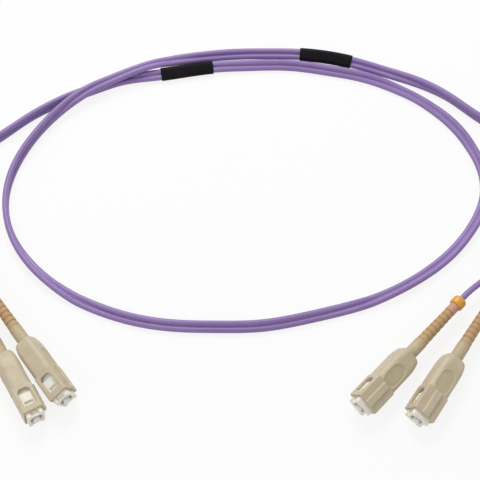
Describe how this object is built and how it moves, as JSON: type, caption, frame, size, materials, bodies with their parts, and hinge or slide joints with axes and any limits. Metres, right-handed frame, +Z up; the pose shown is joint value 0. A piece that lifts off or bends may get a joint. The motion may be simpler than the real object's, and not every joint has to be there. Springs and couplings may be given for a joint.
{
  "type": "fiber optic patch cord",
  "caption": "Flat twin fibre optic patch cord laid in a loop, its single legs ending in square push-pull plugs with sprung ceramic ferrules and slim ribbed boots.",
  "frame": {"origin": "centre of the plugs' footprint, on the surface that the cord lies on", "axes": "+X to the right along the row of plugs, +Y from the plugs towards the loop, +Z up"},
  "size_m": [0.2537, 0.1635, 0.011],
  "materials": {
    "housing": "satin beige moulding",
    "plug_frame": "ivory white moulding",
    "ferrule": "polished white zirconia",
    "flange": "bright nickel plate",
    "spring": "bright spring wire",
    "buffer": "natural white buffer",
    "backbone": "turned metal",
    "crimp_sleeve": "soft drawn metal",
    "boot": "soft tan moulding",
    "collar": "amber orange moulding",
    "jacket": "smooth violet jacket",
    "marker": "matt black sleeve"
  },
  "bodies": {
    "cord_and_plugs": {"plug_frame_a1": "plug_frame", "plug_frame_a2": "plug_frame", "plug_frame_b1": "plug_frame", "plug_frame_b2": "plug_frame", "spring_a1": "spring", "spring_a2": "spring", "spring_b1": "spring", "spring_b2": "spring", "backbone_a1": "backbone", "backbone_a2": "backbone", "backbone_b1": "backbone", "backbone_b2": "backbone", "crimp_a1": "crimp_sleeve", "crimp_a2": "crimp_sleeve", "crimp_b1": "crimp_sleeve", "crimp_b2": "crimp_sleeve", "boot_a1": "boot", "boot_a2": "boot", "boot_b1": "boot", "boot_b2": "boot", "collar_a1": "collar", "collar_a2": "collar", "collar_b1": "collar", "collar_b2": "collar", "leg_a1": "jacket", "leg_a2": "jacket", "leg_b1": "jacket", "leg_b2": "jacket", "duplex_cord": "jacket", "marker_a": "marker", "marker_b": "marker"},
    "housing_a1": {"grip_a1": "housing"},
    "ferrule_set_a1": {"ferrule_a1": "ferrule", "flange_a1": "flange", "buffer_a1": "buffer"},
    "housing_a2": {"grip_a2": "housing"},
    "ferrule_set_a2": {"ferrule_a2": "ferrule", "flange_a2": "flange", "buffer_a2": "buffer"},
    "housing_b1": {"grip_b1": "housing"},
    "ferrule_set_b1": {"ferrule_b1": "ferrule", "flange_b1": "flange", "buffer_b1": "buffer"},
    "housing_b2": {"grip_b2": "housing"},
    "ferrule_set_b2": {"ferrule_b2": "ferrule", "flange_b2": "flange", "buffer_b2": "buffer"}
  },
  "joints": [
    {"name": "housing_slide_a1", "type": "slide", "parent": "cord_and_plugs", "child": "housing_a1", "axis": [-0.5948, 0.8039, 0], "range_m": [0, 0.002]},
    {"name": "ferrule_slide_a1", "type": "slide", "parent": "cord_and_plugs", "child": "ferrule_set_a1", "axis": [-0.5948, 0.8039, 0], "range_m": [0, 0.001], "stiffness_N_per_m": 2000, "deforming": ["spring_a1"]},
    {"name": "housing_slide_a2", "type": "slide", "parent": "cord_and_plugs", "child": "housing_a2", "axis": [-0.5075, 0.8616, 0], "range_m": [0, 0.002]},
    {"name": "ferrule_slide_a2", "type": "slide", "parent": "cord_and_plugs", "child": "ferrule_set_a2", "axis": [-0.5075, 0.8616, 0], "range_m": [0, 0.001], "stiffness_N_per_m": 2000, "deforming": ["spring_a2"]},
    {"name": "housing_slide_b1", "type": "slide", "parent": "cord_and_plugs", "child": "housing_b1", "axis": [0.682, 0.7314, 0], "range_m": [0, 0.002]},
    {"name": "ferrule_slide_b1", "type": "slide", "parent": "cord_and_plugs", "child": "ferrule_set_b1", "axis": [0.682, 0.7314, 0], "range_m": [0, 0.001], "stiffness_N_per_m": 2000, "deforming": ["spring_b1"]},
    {"name": "housing_slide_b2", "type": "slide", "parent": "cord_and_plugs", "child": "housing_b2", "axis": [0.5592, 0.829, 0], "range_m": [0, 0.002]},
    {"name": "ferrule_slide_b2", "type": "slide", "parent": "cord_and_plugs", "child": "ferrule_set_b2", "axis": [0.5592, 0.829, 0], "range_m": [0, 0.001], "stiffness_N_per_m": 2000, "deforming": ["spring_b2"]}
  ]
}
